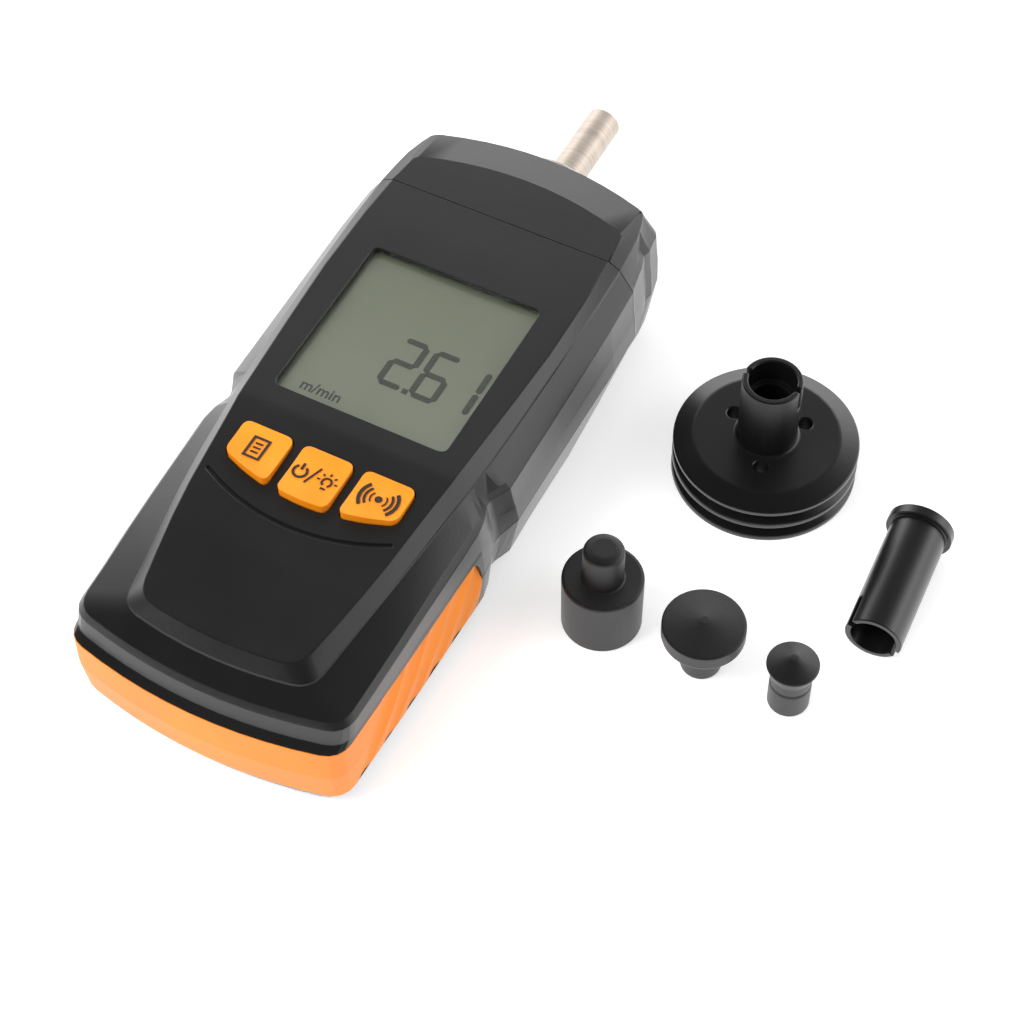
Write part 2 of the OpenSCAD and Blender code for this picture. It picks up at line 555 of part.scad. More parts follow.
module one_plunger(i) let (x = i * key_pitch) post(x, key_mid(x), plunger_d / 2, board_z + plunger_floor, board_z + plunger_h);
module memory_plunger() color("#3a3a3a") one_plunger(-1);
module power_plunger() color("#3a3a3a") one_plunger(0);
module sound_plunger() color("#3a3a3a") one_plunger(1);

module key_switches() color("#9a9a98") for (i = [-1, 0, 1]) let (x = i * key_pitch) difference() {
    translate([x, key_mid(x), 0]) slab(switch_w, switch_w, board_z, board_z + switch_h);
    post(x, key_mid(x), plunger_d / 2 + fit_gap, board_z + plunger_floor - key_travel - slip, board_z + switch_h + over);
}

// ---- board ----
module main_board() color("#2f6b3c") difference() {
    translate([0, 0, board_z - board_t]) linear_extrude(board_t) polygon([
        [-board_low_w / 2, board_y0], [board_low_w / 2, board_y0], [board_low_w / 2, board_y0 + board_neck], [board_w / 2, board_y0 + board_neck * 1.5],
        [board_w / 2, board_y1], [-board_w / 2, board_y1], [-board_w / 2, board_y0 + board_neck * 1.5], [-board_low_w / 2, board_y0 + board_neck]]);
    for (p = board_boss) both() post(p[0], p[1], board_screw_d / 2 + slip, 0, case_h);
}
chip_w = 10;
chip_t = 1.6;
chip_x = 9;
chip_y = -43;
small_chip_w = 5;
module board_chips() color("#1e1e1e") {
    translate([-chip_x, chip_y, 0]) slab(chip_w, chip_w, board_z, board_z + chip_t);
    translate([-chip_x, lcd_y, 0]) slab(chip_w, chip_w, board_z - board_t - chip_t, board_z - board_t);
    translate([chip_x, lcd_y, 0]) slab(small_chip_w, small_chip_w, board_z - board_t - chip_t, board_z - board_t);
}
buzzer_d = 12;
buzzer_h = 4.6;
buzzer_hole_d = 2;
module buzzer() color("#1a1a1a") difference() {
    post(chip_x, chip_y, buzzer_d / 2, board_z, board_z + buzzer_h);
    post(chip_x, chip_y, buzzer_hole_d / 2, board_z + buzzer_h / 2, board_z + buzzer_h + over);
}
module screw(d, len, hd, hh) {
    cylinder(d = d, h = len);
    translate([0, 0, -hh]) difference() {
        cylinder(d = hd, h = hh);
        for (a = [0, 90]) rotate([0, 0, a]) translate([-hd * 0.3, -hd * 0.07, -over]) cube([hd * 0.6, hd * 0.14, hh * 0.5 + over]);
    }
}
module board_screws() color("#a9a9a5") for (p = board_boss) both() translate([p[0], p[1], board_z - board_t]) screw(board_screw_d, board_screw_len, board_head_d, board_head_h);
module case_screws() color("#8d8d8a") for (p = concat(boss_at, [head_boss])) both() translate([p[0], p[1], sink_z]) screw(screw_d, screw_len, screw_head_d, screw_head_h);

// ---- nose, shaft and its bearings: all turned about the shaft's axis ----
module on_axis(y) translate([0, y, shaft_z]) rotate([-90, 0, 0]) children();

module nose_collar() color("#c9bdb0") on_axis(nose_y) difference() {
    union() {
        cylinder(r = nose_r, h = nose_base);
        translate([0, 0, nose_base]) cylinder(r1 = nose_r, r2 = shaft_d / 2 + slip + nose_tip, h = nose_len);
        translate([0, 0, -wall]) cylinder(r = spigot_r, h = wall + nose_base);
    }
    translate([0, 0, -wall - over]) cylinder(d = shaft_d + slip * 2, h = wall + nose_base + nose_len + over * 2);
}

module bearing_block() color("#5a5d60") difference() {
    union() {
        translate([0, (block_y0 + block_y1) / 2, 0]) slab(block_w, block_len, shaft_z - block_up, shaft_z + block_up);
        translate([0, (block_y0 + block_y1) / 2, 0]) slab(block_foot_w, block_len - block_foot_in * 2, shaft_z - block_up, shaft_z - block_up + block_foot_t);
    }
    on_axis(block_y0 - over) cylinder(d = journal_d + bearing_seat * 2, h = block_len + over * 2);
    on_axis(block_y0 - over) cylinder(d = bearing_d + fit_gap, h = bearing_t + over);
    on_axis(block_y1 - bearing_t) cylinder(d = bearing_d + fit_gap, h = bearing_t + over);
    both() post(block_screw_x, (block_y0 + block_y1) / 2, screw_d / 2 + slip, 0, case_h);
}
module block_screws() color("#a9a9a5") both() translate([block_screw_x, (block_y0 + block_y1) / 2, shaft_z - block_up + block_foot_t]) rotate([180, 0, 0]) screw(screw_d, block_screw_len, screw_head_d, screw_head_h);
module shaft_bearings() color("#b9bcc0") for (y = [block_y0, block_y1 - bearing_t]) on_axis(y) difference() {
    cylinder(d = bearing_d, h = bearing_t);
    translate([0, 0, -over]) cylinder(d = journal_d + run_gap * 2, h = bearing_t + over * 2);
    // shallow channel between the races
    for (z = [-over, bearing_t - bearing_dish]) translate([0, 0, z]) difference() {
        cylinder(d = bearing_d - bearing_race * 2, h = bearing_dish + over);
        cylinder(d = journal_d + bearing_race * 2, h = bearing_dish + over);
    }
}
bearing_race = 1.4;
bearing_dish = 0.3;

shaft_shoulder = block_y1 + slip;
module drive_shaft() color("#c9bdb0") difference() {
    union() {
        on_axis(disc_y - disc_hub_len / 2 - shaft_tail) cylinder(d = journal_d, h = shaft_y - over - disc_y + disc_hub_len / 2 + shaft_tail - over);
        on_axis(shaft_shoulder) cylinder(d = shaft_d - shaft_neck, h = shaft_y - shaft_shoulder - shaft_chamfer * 2);
        on_axis(tip_y + slip) cylinder(d = shaft_d, h = shaft_y - tip_y - slip - shaft_chamfer);
        on_axis(shaft_y - shaft_chamfer) cylinder(d1 = shaft_d, d2 = shaft_d - shaft_chamfer * 2, h = shaft_chamfer);
    }
    // groove of the retaining ring
    on_axis(block_y0 - ring_t - slip * 2) difference() {
        cylinder(d = journal_d + over, h = ring_t + slip);
        cylinder(r = journal_d / 2 - ring_groove, h = ring_t + slip);
    }
    // lathe centre in the outer end
    on_axis(shaft_y - centre_h) cylinder(d1 = 0, d2 = centre_d, h = centre_h + fit_gap);
}
centre_d = 2.4;
centre_h = 1.2;
shaft_neck = 0.6;                // the shaft is this much thinner inside the nose

module retaining_ring() color("#6f7276") on_axis(block_y0 - ring_t - slip * 1.5) difference() {
    cylinder(r = ring_r, h = ring_t);
    translate([0, 0, -over]) cylinder(r = journal_d / 2 - ring_groove + fit_gap, h = ring_t + over * 2);
    translate([-ring_groove * 3, 0, -over]) cube([ring_groove * 6, ring_r + over, ring_t + over * 2]);
}

module slotted_disc() color("#2b2b2b") on_axis(disc_y) difference() {
    union() {
        translate([0, 0, -disc_t / 2]) cylinder(d = disc_d, h = disc_t);
        translate([0, 0, -disc_hub_len / 2]) cylinder(r = disc_hub_r, h = disc_hub_len);
    }
    translate([0, 0, -disc_hub_len]) cylinder(d = journal_d + fit_gap, h = disc_hub_len * 2);
    for (i = [0 : disc_slots - 1]) rotate([0, 0, i * 360 / disc_slots])
        translate([disc_d / 2 - disc_rim - slot_len, -slot_share * PI * (disc_d / 2 - disc_rim - slot_len / 2) / disc_slots, -disc_t]) cube([slot_len, slot_share * 2 * PI * (disc_d / 2 - disc_rim - slot_len / 2) / disc_slots, disc_t * 2]);
}

module photo_sensor() color("#1b1b1b") translate([0, disc_y, 0]) difference() {
    slab(sensor_w, sensor_arm * 2 + sensor_gap, sensor_z, shaft_z - disc_d / 2 + sensor_deep);
    slab(sensor_w + over, sensor_gap, sensor_z + sensor_base, case_h);
}
module sensor_board() color("#2f6b3c") translate([0, disc_y, 0]) slab(sensor_board_w, sensor_arm * 2 + sensor_gap + sensor_board_rim * 2, sensor_board_z, sensor_z);

// ---- batteries and their door ----
module battery_door() color("#343434") union() {
    difference() {
        intersection() {
            loft([for (L = [L_back, L_bevel, L_heel]) full_half(L)]);
            union() {
                translate([0, (door_y1 - case_len) / 2, 0]) slab(door_w, case_len + door_y1, 0, door_t);
                translate([0, -half_len, 0]) slab(door_w + door_rail * 2, door_end * 2, door_t, door_t + door_rail_t);
            }
        }
        // ridges for the thumb
        for (i = [0 : ridges - 1]) translate([-ridge_w / 2, door_y1 - ridge_in - i * ridge_pitch, -ridge_r / 2]) rotate([0, 90, 0]) cylinder(r = ridge_r, h = ridge_w);
    }
    both() translate([door_w / 2 - door_rail * 2, door_y1 - rail_len - door_rail, door_t]) cube([door_rail * 3, rail_len, door_rail_t]);
}
rail_len = 52;
door_end = 6.4;                  // block that closes the slots at the grip end

module batteries() color("#b8902f") for (i = [-1, 0, 1]) translate([i * battery_pitch, box_y, battery_z]) rotate([90, 0, 0]) mirror([0, 0, i == 0 ? 1 : 0]) {
    translate([0, 0, -battery_len / 2]) cylinder(d = battery_d, h = battery_len - tip_pin_h);
    translate([0, 0, battery_len / 2 - tip_pin_h]) cylinder(r = tip_pin_r, h = tip_pin_h);
}
contact_t = 0.6;
contact_w = 9;
spring_r = 3.4;
module battery_contacts() color("#c8c9c6") for (i = [-1, 0, 1]) for (s = [-1, 1]) translate([i * battery_pitch, box_y, battery_z]) {
    translate([-contact_w / 2, s * (box_len - contact_t) / 2 - contact_t / 2, -contact_w / 2]) cube([contact_w, contact_t, contact_w]);
    // coil spring drawn as its cone where the flat end of the cell rests, a raised dimple at the other end
    flat = (i == 0 ? -1 : 1) == s;
    translate([0, s * (box_len / 2 - contact_t), 0]) rotate([s * 90, 0, 0])
        if (flat) cylinder(r1 = spring_r, r2 = tip_pin_r, h = contact_room - contact_t);
        else cylinder(r1 = tip_pin_r * 1.4, r2 = tip_pin_r, h = contact_room - contact_t);
}

// ---- accessories, each turned about its own axis ----
wheel_at = [67.6, 44.9];
wheel_r = wheel_d / 2;
rim_t = 1.2;
groove_deep = 1.7;
groove_pitch = 4.3;
wheel_t = 11.3;
wheel_top_in = 4.2;
hub_d = 12.8;
mouth_d = 10.14;
mouth_len = 6;
slot_w = 1.1;
bore_floor = 8;
web_t = 2.6;
web_r = 15.4;
hub_round = 0.5;
vent_d = 3.1;
vent_r = 8.8;
vent_turn = 46;
module measuring_wheel() color("#2a2a2a") translate([wheel_at[0], wheel_at[1], 0]) difference() {
    rotate_extrude($fn = 72) polygon([
        [0, web_t], [hub_d / 2, web_t], [web_r - web_t, web_t], [web_r, 0],
        [wheel_r, 0], [wheel_r, rim_t], [wheel_r - groove_deep, groove_pitch / 2 + rim_t / 2], [wheel_r, groove_pitch], [wheel_r, groove_pitch + rim_t],
        [wheel_r - groove_deep, groove_pitch * 1.5 + rim_t / 2], [wheel_r, groove_pitch * 2], [wheel_r, groove_pitch * 2 + rim_t], [wheel_r - wheel_top_in, wheel_t],
        [hub_d / 2 + hub_round, wheel_t], [hub_d / 2, wheel_t + hub_round], [hub_d / 2, hub_h], [0, hub_h]]);
    translate([0, 0, bore_floor]) cylinder(d = shaft_d + run_gap * 2, h = hub_h);
    translate([0, 0, hub_h - mouth_len]) cylinder(d = mouth_d, h = mouth_len + over);
    translate([-hub_d, -slot_w / 2, hub_h - mouth_len]) cube([hub_d * 2, slot_w, mouth_len + over]);
    for (i = [0 : 2]) rotate([0, 0, vent_turn + i * 120]) post(vent_r, 0, vent_d / 2, -over, wheel_t + over);
}

sleeve_at = [105.5, 38.5];
sleeve_turn = 3.4;
tube_d = 12.14;
flange_d = 14.3;
flange_t = 2.3;
sleeve_slot = 7;
sleeve_slot_w = 1.6;
sleeve_slot_turn = 29;
sleeve_mouth_d = 9.7;
socket_len = 10;
grip_len = 14;
sleeve_lean = asin((flange_d - tube_d) / 2 / (sleeve_len - flange_t));
// lies on the rim of its flange and on the edge of its open end
module shaft_sleeve() color("#232323") translate([sleeve_at[0], sleeve_at[1], 0]) rotate([0, 0, sleeve_turn]) rotate([sleeve_lean, 0, 0])
    translate([0, 0, flange_d / 2]) translate([0, flange_t, 0]) rotate([90, 0, 0]) difference() {
        union() {
            cylinder(d = tube_d, h = sleeve_len);
            cylinder(d = flange_d, h = flange_t);
        }
        translate([0, 0, -over]) cylinder(d = stem_d + run_gap * 2, h = socket_len + over);
        translate([0, 0, socket_len - over]) cylinder(d = shaft_d - sleeve_step, h = sleeve_len);
        translate([0, 0, sleeve_len - sleeve_slot - grip_len + over]) cylinder(d = shaft_d + run_gap * 2, h = sleeve_len);
        translate([0, 0, sleeve_len - sleeve_slot]) cylinder(d = sleeve_mouth_d, h = sleeve_slot + over);
        rotate([0, 0, -sleeve_slot_turn]) translate([-flange_d / 2, -sleeve_slot_w / 2, sleeve_len - sleeve_slot]) cube([flange_d, sleeve_slot_w, sleeve_slot + over]);
    }
sleeve_step = 1.6;

tip_soft = 0.8;
cup_at = [54.3, -6.7];
cup_h = 15;
cup_flare = 0.1;
cup_stem_top = 24.9;
cup_lip = 1.6;
cup_deep = 6;
module cup_tip() color("#262626") translate([cup_at[0], cup_at[1], 0]) rotate_extrude($fn = 64) polygon([
    [0, cup_deep], [cup_d / 2 - cup_lip, 0], [cup_d / 2, 0], [cup_d / 2 + cup_flare, cup_h - tip_soft / 2], [cup_d / 2 + cup_flare - tip_soft / 2, cup_h],
    [stem_d / 2, cup_h], [stem_d / 2, cup_stem_top - tip_soft * 1.5], [stem_d / 2 - tip_soft / 2, cup_stem_top - tip_soft / 2], [stem_d / 2 - tip_soft * 2, cup_stem_top], [0, cup_stem_top]]);

cone_at = [77.2, -7.2];
cone_z = 10.6;
cone_h = 3.6;
cone_rise = 1.5;
cone_neck = 1.2;
module large_cone_tip() color("#262626") translate([cone_at[0], cone_at[1], 0]) rotate_extrude($fn = 64) polygon([
    [0, 0], [stem_d / 2 - tip_soft / 2, 0], [stem_d / 2, tip_soft / 2], [stem_d / 2, cone_z - cone_neck], [cone_d / 2 - cone_neck, cone_z - cone_neck], [cone_d / 2, cone_z],
    [cone_d / 2, cone_z + cone_h], [tip_soft, cone_z + cone_h + cone_rise], [0, cone_z + cone_h + cone_rise]]);

point_at = [96.7, -7.2];
point_ring = 7.5;
point_groove = 0.4;
point_low = 10.2;
point_top = 13.4;
point_apex = 15.8;
module small_cone_tip() color("#262626") translate([point_at[0], point_at[1], 0]) rotate_extrude($fn = 64) polygon([
    [0, 0], [stem_d / 2 - tip_soft / 2, 0], [stem_d / 2, tip_soft / 2], [stem_d / 2, point_ring - point_groove], [stem_d / 2 - point_groove, point_ring], [stem_d / 2, point_ring + point_groove],
    [stem_d / 2, point_low], [point_d / 2, point_top], [tip_soft, point_apex], [0, point_apex]]);

rear_case();
front_case();
head_cap();
front_grip();
rear_grip();
lcd_window();
lcd_cell();
lcd_frame();
backlight();
contact_strips();
memory_key();
power_key();
sound_key();
memory_plunger();
power_plunger();
sound_plunger();
key_switches();
main_board();
board_chips();
buzzer();
board_screws();
case_screws();
nose_collar();
bearing_block();
block_screws();
shaft_bearings();
drive_shaft();
slotted_disc();
retaining_ring();
photo_sensor();
sensor_board();
battery_door();
batteries();
battery_contacts();
measuring_wheel();
shaft_sleeve();
cup_tip();
large_cone_tip();
small_cone_tip();
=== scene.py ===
# Contact tachometer on a white table, with its wheel, shaft sleeve and three rubber tips.
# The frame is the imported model, in metres: y runs along the case toward the shaft, z is up.
import bpy, bmesh, json, math
from mathutils import Matrix, Vector


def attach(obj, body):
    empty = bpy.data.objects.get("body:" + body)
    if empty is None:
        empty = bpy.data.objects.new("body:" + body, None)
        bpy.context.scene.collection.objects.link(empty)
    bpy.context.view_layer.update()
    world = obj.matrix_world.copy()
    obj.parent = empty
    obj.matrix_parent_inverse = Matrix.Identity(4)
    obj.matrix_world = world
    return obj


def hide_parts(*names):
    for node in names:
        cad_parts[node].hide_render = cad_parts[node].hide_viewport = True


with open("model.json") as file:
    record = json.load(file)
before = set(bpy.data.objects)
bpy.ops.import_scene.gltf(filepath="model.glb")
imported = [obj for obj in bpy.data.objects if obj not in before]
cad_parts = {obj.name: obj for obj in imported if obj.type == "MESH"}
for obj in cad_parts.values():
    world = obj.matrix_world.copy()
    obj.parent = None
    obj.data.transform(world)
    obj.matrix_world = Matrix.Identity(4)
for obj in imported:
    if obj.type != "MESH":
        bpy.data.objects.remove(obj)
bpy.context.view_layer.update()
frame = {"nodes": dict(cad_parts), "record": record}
nodes = frame["nodes"]
mm = 0.001
scene = bpy.context.scene


# Small helpers
def linearOf(code):
    # sRGB hex to a linear colour
    def channel(v):
        return v / 12.92 if v <= 0.04045 else ((v + 0.055) / 1.055) ** 2.4
    return tuple(channel(int(code[i:i + 2], 16) / 255) for i in (1, 3, 5)) + (1.0,)


def feed(tree, node, inputs):
    # a node gives its first output, a socket is linked, and anything else is set on the input
    for name, value in inputs.items():
        if isinstance(value, bpy.types.Node):
            value = value.outputs[0]
        if isinstance(value, bpy.types.NodeSocket):
            tree.links.new(value, node.inputs[name])
        else:
            node.inputs[name].default_value = value


def addNode(tree, kind, inputs=None, stops=(), **settings):
    # stops are the places and colours of a colour ramp
    node = tree.nodes.new(kind)
    for name, value in settings.items():
        setattr(node, name, value)
    for i, (at, colour) in enumerate(stops):
        stop = node.color_ramp.elements[i] if i < 2 else node.color_ramp.elements.new(at)
        stop.position = at
        stop.color = colour
    feed(tree, node, inputs or {})
    return node


def newMaterial(name, shader):
    material = bpy.data.materials.new(name)
    material.use_nodes = True
    tree = material.node_tree
    tree.nodes.clear()
    surface = addNode(tree, "ShaderNodeBsdfPrincipled", shader)
    addNode(tree, "ShaderNodeOutputMaterial", {"Surface": surface})
    return material, tree, surface


def objectPlace(tree, scale=(1, 1, 1)):
    where = addNode(tree, "ShaderNodeTexCoord")
    return addNode(tree, "ShaderNodeMapping", {"Vector": where.outputs["Object"], "Scale": scale})


lumpShare = 0.6  # noise scale times the width of a lump, in metres


def grainOf(size):
    # noise scale whose lumps are about this many millimetres across
    return lumpShare / (size * mm)


def tonesOf(low, high, ends):
    return [(ends[0], linearOf(low)), (ends[1], linearOf(high))]


# Materials: a skin has broad clouds of colour and a fine grain, with sizes in millimetres
plainSkin = {"cloud": 9, "cloudDetail": 3.0, "cloudRough": 0.5, "ends": (0.3, 0.75), "rough": (0.4, 0.6),
             "roughBy": "grain", "grain": 0.5, "grainDetail": 2.0, "strength": 0.3, "lift": 0.03}


def drawSkin(tree, surface, look):
    place = objectPlace(tree)
    patterns = {
        "clouds": addNode(tree, "ShaderNodeTexNoise", {"Vector": place, "Scale": grainOf(look["cloud"]),
                                                       "Detail": look["cloudDetail"],
                                                       "Roughness": look["cloudRough"]}),
        "grain": addNode(tree, "ShaderNodeTexNoise", {"Vector": place, "Scale": grainOf(look["grain"]),
                                                      "Detail": look["grainDetail"]}),
    }
    tones = addNode(tree, "ShaderNodeValToRGB", {"Fac": patterns["clouds"]},
                    stops=tonesOf(*look["tones"], look["ends"]))
    low, high = look["rough"]
    rough = addNode(tree, "ShaderNodeMapRange", {"Value": patterns[look["roughBy"]], "To Min": low,
                                                 "To Max": high})
    bump = addNode(tree, "ShaderNodeBump", {"Strength": look["strength"], "Distance": look["lift"] * mm,
                                            "Height": patterns["grain"]})
    feed(tree, surface, {"Base Color": tones, "Roughness": rough, "Normal": bump})


# Injection-moulded ABS from a spark-eroded tool: a dense satin black, with a fine grain that breaks up
# highlights. The real grain is 0.15 mm; it is drawn at 0.4 mm, so that it shows.
mouldedSkin = {**plainSkin, "tones": ("#151515", "#1b1b1b"), "cloud": 24, "cloudRough": 0.6,
               "rough": (0.3, 0.4), "roughBy": "clouds", "grain": 0.4, "strength": 0.35, "lift": 0.05}


def blackMouldedAbs(name, **changes):
    material, tree, surface = newMaterial(name, {"IOR": 1.47})
    drawSkin(tree, surface, {**mouldedSkin, **changes})
    return material


# Soft TPE moulded over the shells: saturated orange, matt, with a fine leathery grain and paler clouds.
softSkin = {**plainSkin, "tones": ("#f27f0c", "#fc921e"), "ends": (0.25, 0.8), "cloud": 14,
            "cloudDetail": 4.0, "cloudRough": 0.6, "rough": (0.5, 0.66), "roughBy": "clouds",
            "grain": 0.45, "strength": 0.4, "lift": 0.05}


def orangeSoftRubber():
    shader = {"IOR": 1.5, "Sheen Weight": 0.15, "Sheen Roughness": 0.4}
    material, tree, surface = newMaterial("orangeSoftRubber", shader)
    drawSkin(tree, surface, softSkin)
    return material


# Keys of tinted silicone under a satin lacquer: deep orange with a thin, even gloss.
keySkin = {**plainSkin, "tones": ("#f88a10", "#ff9c22"), "ends": (0.3, 0.8), "cloud": 6,
           "rough": (0.38, 0.5), "roughBy": "clouds", "grain": 0.35}


def orangeSiliconeKey():
    shader = {"IOR": 1.43, "Coat Weight": 0.2, "Coat Roughness": 0.35}
    material, tree, surface = newMaterial("orangeSiliconeKey", shader)
    drawSkin(tree, surface, keySkin)
    return material


# Cast acrylic window: clear, polished, with the faintest waviness.
window = {"wave": 18, "waveDetail": 1.0, "tones": ("#f4f7f2", "#fbfcfa"), "ends": (0.2, 0.9),
          "strength": 0.05, "lift": 0.02}


def clearAcrylic():
    shader = {"IOR": 1.49, "Roughness": 0.03, "Transmission Weight": 1.0}
    material, tree, surface = newMaterial("clearAcrylic", shader)
    wave = addNode(tree, "ShaderNodeTexNoise", {"Vector": objectPlace(tree), "Scale": grainOf(window["wave"]),
                                                "Detail": window["waveDetail"]})
    tones = addNode(tree, "ShaderNodeValToRGB", {"Fac": wave},
                    stops=tonesOf(*window["tones"], window["ends"]))
    bump = addNode(tree, "ShaderNodeBump", {"Strength": window["strength"], "Distance": window["lift"] * mm,
                                            "Height": wave})
    feed(tree, surface, {"Base Color": tones, "Normal": bump})
    return material


# Reflective liquid crystal cell: grey-green polariser over a silvered backing, satin, with painted
# shade that darkens it toward the head.
# from and to bound the painted shade along y, in millimetres
cell = {"from": -10, "to": 34, "fleck": 0.5, "fleckDetail": 2.0, "uneven": 0.08,
        "tones": ("#85887a", "#797c6b"), "ends": (0.0, 1.0), "strength": 0.1, "lift": 0.02}


def liquidCrystalGlass():
    material, tree, surface = newMaterial("liquidCrystalGlass", {"IOR": 1.5, "Roughness": 0.4})
    place = objectPlace(tree)
    split = addNode(tree, "ShaderNodeSeparateXYZ", {"Vector": place})
    # painted shade: the cell's tone darkens along y toward the head
    paintedShadeTowardHead = addNode(tree, "ShaderNodeMapRange", {"Value": split.outputs["Y"], "From Min": cell["from"] * mm,
                                                "From Max": cell["to"] * mm})
    fleck = addNode(tree, "ShaderNodeTexNoise", {"Vector": place, "Scale": grainOf(cell["fleck"]),
                                                 "Detail": cell["fleckDetail"]})
    uneven = addNode(tree, "ShaderNodeMapRange", {"Value": fleck, "To Min": -cell["uneven"],
                                                  "To Max": cell["uneven"]})
    mixed = addNode(tree, "ShaderNodeMath", {0: paintedShadeTowardHead, 1: uneven}, operation="ADD")
    tones = addNode(tree, "ShaderNodeValToRGB", {"Fac": mixed}, stops=tonesOf(*cell["tones"], cell["ends"]))
    bump = addNode(tree, "ShaderNodeBump", {"Strength": cell["strength"], "Distance": cell["lift"] * mm,
                                            "Height": fleck})
    feed(tree, surface, {"Base Color": tones, "Normal": bump})
    return material


# Turned and ground bar: fine rings round the axis along y, a warm grey that varies from ring to ring.
turning = {"across": 0.06, "ringDetail": 4.0, "ringRough": 0.7, "cloud": 5, "cloudDetail": 3.0,
           "uneven": 0.15, "ends": (0.25, 0.75), "strength": 0.25, "lift": 0.02}


def turnedMetal(name, tones, rough, ring, metallic):
    material, tree, surface = newMaterial(name, {"Metallic": metallic})
    place = objectPlace(tree, scale=(turning["across"], 1.0, turning["across"]))
    rings = addNode(tree, "ShaderNodeTexNoise", {"Vector": place, "Scale": grainOf(ring),
                                                 "Detail": turning["ringDetail"],
                                                 "Roughness": turning["ringRough"]})
    clouds = addNode(tree, "ShaderNodeTexNoise", {"Vector": objectPlace(tree),
                                                  "Scale": grainOf(turning["cloud"]),
                                                  "Detail": turning["cloudDetail"]})
    uneven = addNode(tree, "ShaderNodeMapRange", {"Value": clouds, "To Min": -turning["uneven"],
                                                  "To Max": turning["uneven"]})
    both = addNode(tree, "ShaderNodeMath", {0: rings, 1: uneven}, operation="ADD")
    colours = addNode(tree, "ShaderNodeValToRGB", {"Fac": both}, stops=tonesOf(*tones, turning["ends"]))
    low, high = rough
    shine = addNode(tree, "ShaderNodeMapRange", {"Value": rings, "To Min": low, "To Max": high})
    bump = addNode(tree, "ShaderNodeBump", {"Strength": turning["strength"],
                                            "Distance": turning["lift"] * mm, "Height": rings})
    feed(tree, surface, {"Base Color": colours, "Roughness": shine, "Normal": bump})
    return material


# Plain small parts inside: one fine grain, one broad variation.
def plainFinish(name, low, high, metallic=0.0, **changes):
    material, tree, surface = newMaterial(name, {"Metallic": metallic})
    drawSkin(tree, surface, {**plainSkin, "tones": (low, high), **changes})
    return material


finishes = {
    "case_plastic": blackMouldedAbs("blackMouldedAbs"),
    "orange_grip": orangeSoftRubber(),
    "orange_key": orangeSiliconeKey(),
    "clear_window": clearAcrylic(),
    "display_glass": liquidCrystalGlass(),
    # impact-modified styrene, moulded bright white to throw the light forward
    "white_plastic": plainFinish("whiteStyrene", "#dedcd4", "#eceae3"),
    # layered conductive elastomer, pinkish and matt
    "strip_rubber": plainFinish("stripedElastomer", "#c79a92", "#d8a8a0", rough=(0.6, 0.75)),
    # glass-filled nylon of chips, sensor and plungers: dull black
    "black_plastic": plainFinish("filledNylon", "#161616", "#202020", rough=(0.45, 0.6)),
    # moulded acetal of the key switches: mid grey, satin
    "switch_plastic": plainFinish("greyAcetal", "#8f8f8d", "#a0a09e"),
    # glass-epoxy laminate under green solder lacquer, glossy
    "board": plainFinish("lacqueredLaminate", "#1f5a32", "#2c6b3e", rough=(0.2, 0.35)),
    # zinc-plated steel: pale grey, bright
    "steel": plainFinish("zincPlatedSteel", "#a2a3a0", "#c6c7c4", metallic=1.0, rough=(0.25, 0.4)),
    "shaft_steel": turnedMetal("groundSteel", ("#a4978c", "#c9bdb1"), (0.34, 0.48), 0.35, 0.55),
    "nose_metal": turnedMetal("turnedAluminium", ("#b5b0ab", "#cdc8c2"), (0.35, 0.48), 0.5, 0.6),
    # die-cast zinc of the bearing block: darker grey, dull
    "block_metal": plainFinish("dieCastZinc", "#6a6d70", "#7e8184", metallic=1.0, rough=(0.4, 0.55)),
    # printed film round a cell: brown yellow, glossy
    "battery_jacket": plainFinish("printedJacket", "#b0842a", "#c2933a", rough=(0.25, 0.35)),
    # acetal wheel and sleeve, moulded then skimmed: satin black, a little smoother than the case
    "wheel_plastic": blackMouldedAbs("blackAcetal", tones=("#101010", "#161616"), rough=(0.26, 0.36),
                                     grain=0.5, lift=0.03),
    # firm nitrile rubber of the tips: sooty black, broad soft highlight
    "tip_rubber": blackMouldedAbs("blackNitrileRubber", tones=("#151515", "#1c1c1c"), rough=(0.42, 0.56),
                                  grain=0.5, lift=0.06),
}
slotOf = {part["node"]: part["material_slot"] for part in frame["record"]["subparts"]}
for name, node in nodes.items():
    node.data.materials.clear()
    node.data.materials.append(finishes[slotOf[name]])
print("materials:", len(finishes))


# Rounded copies of CAD nodes: distances in millimetres, angles in degrees
merging = {"reach": 0.002, "flat": 0.6}
roundings = {"segments": 2, "angle": 17, "turned": 12, "moulded": 20}
# each node's rounded copy, and the width of its edges
roundedNodes = {
    "front_case": ("frontShell", 0.16), "head_cap": ("headCap", 0.16), "rear_case": ("rearShell", 0.16),
    "front_grip": ("frontGrip", 0.15), "rear_grip": ("rearGrip", 0.15),
    "memory_key": ("leftKey", 0.3), "power_key": ("middleKey", 0.3), "sound_key": ("rightKey", 0.3),
    "measuring_wheel": ("wheel", 0.3), "shaft_sleeve": ("sleeve", 0.2), "cup_tip": ("cupTip", 0.35),
    "large_cone_tip": ("largeConeTip", 0.35), "small_cone_tip": ("smallConeTip", 0.3),
    "nose_collar": ("nose", 0.3), "drive_shaft": ("shaft", 0.2), "battery_door": ("batteryDoor", 0.25),
}


def pieceOf(name, mesh, body):
    piece = bpy.data.objects.new(name, mesh)
    scene.collection.objects.link(piece)
    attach(piece, body)
    return piece


def bodyOf(name):
    for body, members in frame["record"]["behaviour"]["bodies"].items():
        if name in members:
            return body


